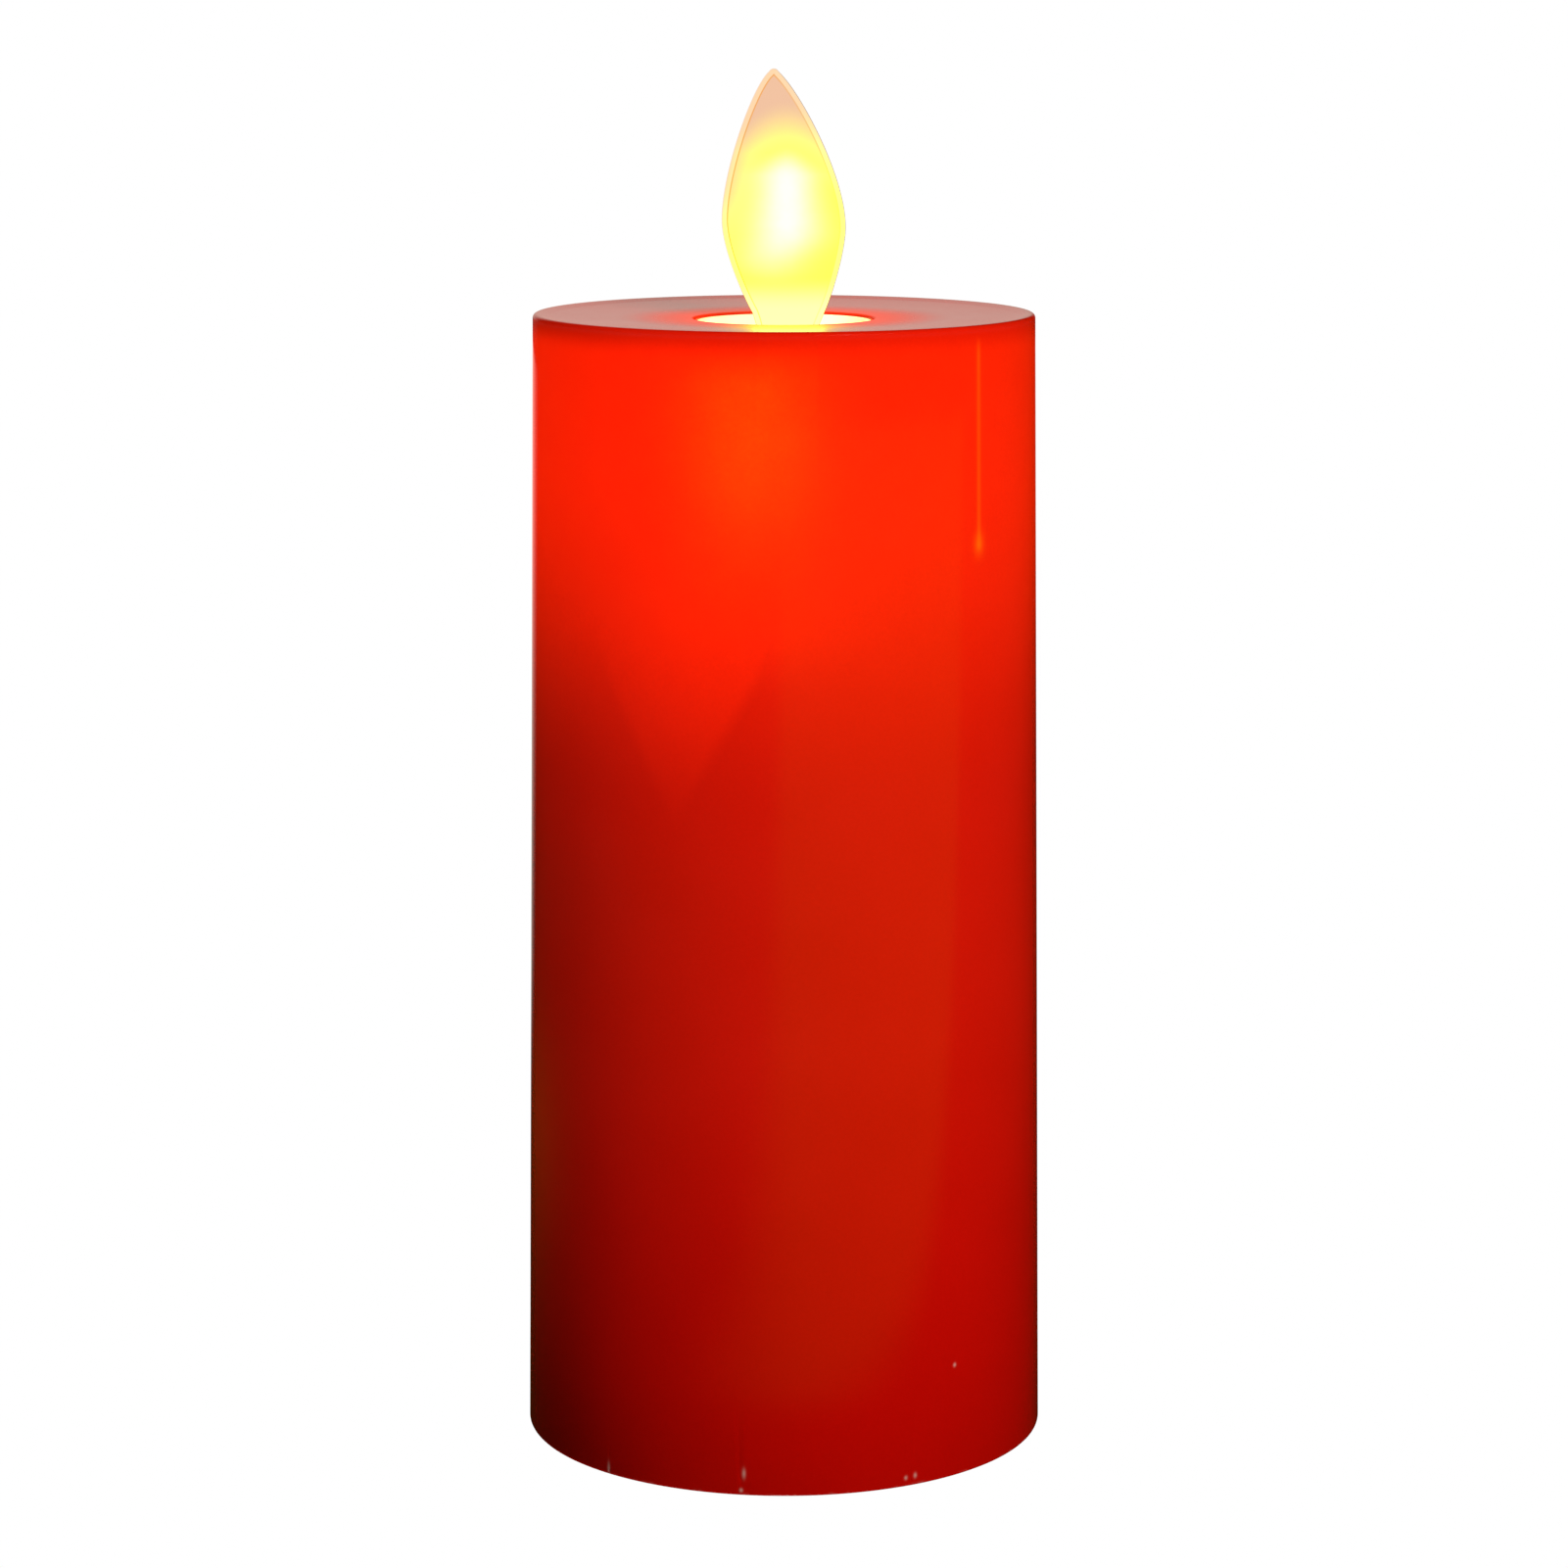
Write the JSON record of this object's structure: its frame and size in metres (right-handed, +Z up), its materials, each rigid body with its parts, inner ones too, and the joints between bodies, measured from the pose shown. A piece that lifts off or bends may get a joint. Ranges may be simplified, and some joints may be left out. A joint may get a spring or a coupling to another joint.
{
  "type": "flameless led candle",
  "caption": "Battery candle: a red translucent pillar with a dished top, a swaying lit flame tab on a wire pivot, and a base with a hinged battery door and a slide switch.",
  "frame": {"origin": "centre of the round foot, on the surface that the candle stands on", "axes": "+Z up along the candle's axis; -Y is the front, which faces the flame's flat side; +X is right"},
  "size_m": [0.055, 0.055, 0.144],
  "materials": {
    "shell_red": "glossy translucent red, lit from inside",
    "base_red": "satin dark red moulding",
    "cup_ivory": "translucent ivory, lit from inside",
    "housing_white": "satin white moulding",
    "black": "satin black",
    "steel": "nickel-plated steel",
    "magnet": "bright nickel plate",
    "copper": "enamelled copper wire",
    "board": "green laminate",
    "lamp": "clear warm epoxy, lit",
    "flame": "translucent flame sheet, lit",
    "cell": "printed cell sleeve without marks",
    "wire_red": "PVC insulation",
    "wire_black": "PVC insulation",
    "wire_white": "PVC insulation"
  },
  "bodies": {
    "candle": {"candle_shell": "shell_red", "light_cup": "cup_ivory", "module_front_shell": "housing_white", "module_rear_shell": "housing_white", "module_clamp_screw_1": "steel", "module_clamp_screw_2": "steel", "module_mount_screw_1": "steel", "module_mount_screw_2": "steel", "pivot_wire": "steel", "led_lamp": "lamp", "led_lead_anode": "steel", "led_lead_cathode": "steel", "led_wire_anode": "wire_red", "led_wire_cathode": "wire_black", "coil_bobbin": "housing_white", "coil_winding": "copper", "coil_lead_1": "copper", "coil_lead_2": "copper", "control_board": "board", "controller_chip": "black", "capacitor": "black", "driver_transistor": "black", "board_screw_1": "steel", "board_screw_2": "steel", "base_chassis": "base_red", "base_screw_1": "steel", "base_screw_2": "steel", "base_screw_3": "steel", "battery_cell_1": "cell", "battery_cell_2": "cell", "contact_plate_positive": "steel", "contact_plate_negative": "steel", "contact_spring_negative": "steel", "battery_wire_positive": "wire_red", "battery_wire_negative": "wire_black", "switch_can": "steel", "switch_wire_1": "wire_white", "switch_wire_2": "wire_white"},
    "flame": {"flame_tab": "flame", "flame_magnet": "magnet"},
    "door": {"battery_door": "base_red", "door_bridge_plate": "steel", "door_bridge_spring": "steel"},
    "switch": {"switch_slider": "black"}
  },
  "joints": [
    {"name": "flame_sway", "type": "hinge", "parent": "candle", "child": "flame", "pos_m": [0, 0, 0.1044], "axis": [0, 1, 0], "range_deg": [-10, 10]},
    {"name": "battery_door_swing", "type": "hinge", "parent": "candle", "child": "door", "pos_m": [-0.01715, 0.0045, 0.0018], "axis": [0, 1, 0], "range_deg": [0, 100]},
    {"name": "power_switch_slide", "type": "slide", "parent": "candle", "child": "switch", "axis": [1, 0, 0], "range_m": [0, 0.004]}
  ]
}
